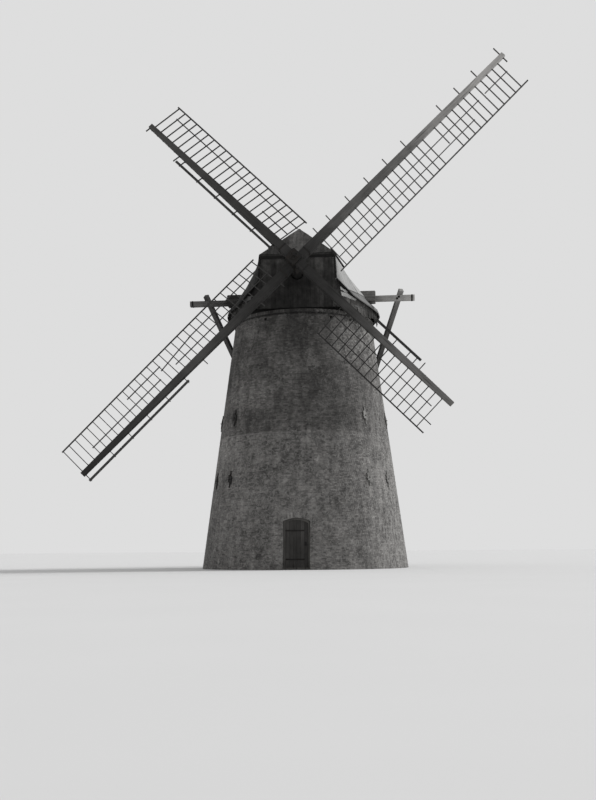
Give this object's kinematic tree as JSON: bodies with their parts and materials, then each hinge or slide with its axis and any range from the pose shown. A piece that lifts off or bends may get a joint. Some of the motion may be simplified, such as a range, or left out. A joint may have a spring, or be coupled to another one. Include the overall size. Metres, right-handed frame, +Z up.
{
  "type": "tower windmill",
  "caption": "Round brick tower mill with a boarded bell-shaped cap that turns on its curb, a tail pole with braces, and bare lattice sails on crossed stocks.",
  "frame": {"origin": "centre of the tower's foot on the ground", "axes": "+Z up along the tower's axis, which the cap turns about; -Y is the side that the sails face at rest"},
  "size_m": [19.7662, 15.2937, 22.2084],
  "materials": {
    "wall_brick": "old weathered brick",
    "head_brick": "paler brick",
    "arch_brick": "old brick",
    "floor_brick": "worn paving brick",
    "curb_oak": "greased timber",
    "floor_timber": "bare boards",
    "door_timber": "tarred boards",
    "wrought_iron": "rusted",
    "frame_timber": "bare timber",
    "roof_felt": "boards under tarred felt",
    "cap_boarding": "tarred boards",
    "weathered_timber": "weathered timber",
    "shaft_timber": "tarred timber",
    "cast_iron": "tarred casting",
    "stock_timber": "tarred timber",
    "lattice_timber": "weathered thin timber"
  },
  "bodies": {
    "tower": {"tower_wall_1": "wall_brick", "tower_wall_2": "wall_brick", "tower_wall_3": "wall_brick", "tower_wall_4": "wall_brick", "tower_wall_5": "wall_brick", "tower_wall_6": "wall_brick", "tower_head_ring": "head_brick", "timber_curb": "curb_oak", "ground_floor": "floor_brick", "first_floor": "floor_timber", "second_floor": "floor_timber", "wall_anchors": "wrought_iron", "door_arches": "arch_brick", "door_frames": "door_timber", "front_door": "door_timber", "back_door": "door_timber"},
    "cap": {"cap_front_hip": "roof_felt", "cap_back_hip": "roof_felt", "cap_left_roof": "roof_felt", "cap_right_roof": "roof_felt", "cap_front_gable": "cap_boarding", "cap_back_gable": "cap_boarding", "cap_left_skirt": "cap_boarding", "cap_right_skirt": "cap_boarding", "beam_boxes": "cap_boarding", "cap_sheers": "frame_timber", "curb_skids": "frame_timber", "weather_beam": "frame_timber", "tail_bearing_beam": "frame_timber", "long_cross_beam": "weathered_timber", "short_cross_beam": "weathered_timber", "left_long_brace": "weathered_timber", "right_long_brace": "weathered_timber", "short_braces": "weathered_timber", "tail_pole": "weathered_timber"},
    "sails": {"windshaft": "shaft_timber", "poll_end": "cast_iron", "long_stock": "stock_timber", "short_stock": "stock_timber", "sail_upper_right": "lattice_timber", "sail_lower_left": "lattice_timber", "sail_upper_left": "lattice_timber", "sail_lower_right": "lattice_timber"}
  },
  "joints": [
    {"name": "cap_turn", "type": "hinge", "parent": "tower", "child": "cap", "pos_m": [0, 0, 11.48], "axis": [0, 0, 1], "continuous": true},
    {"name": "sail_spin", "type": "hinge", "parent": "cap", "child": "sails", "pos_m": [0, -4.4, 13], "axis": [0, -0.9903, 0.1392], "continuous": true}
  ]
}
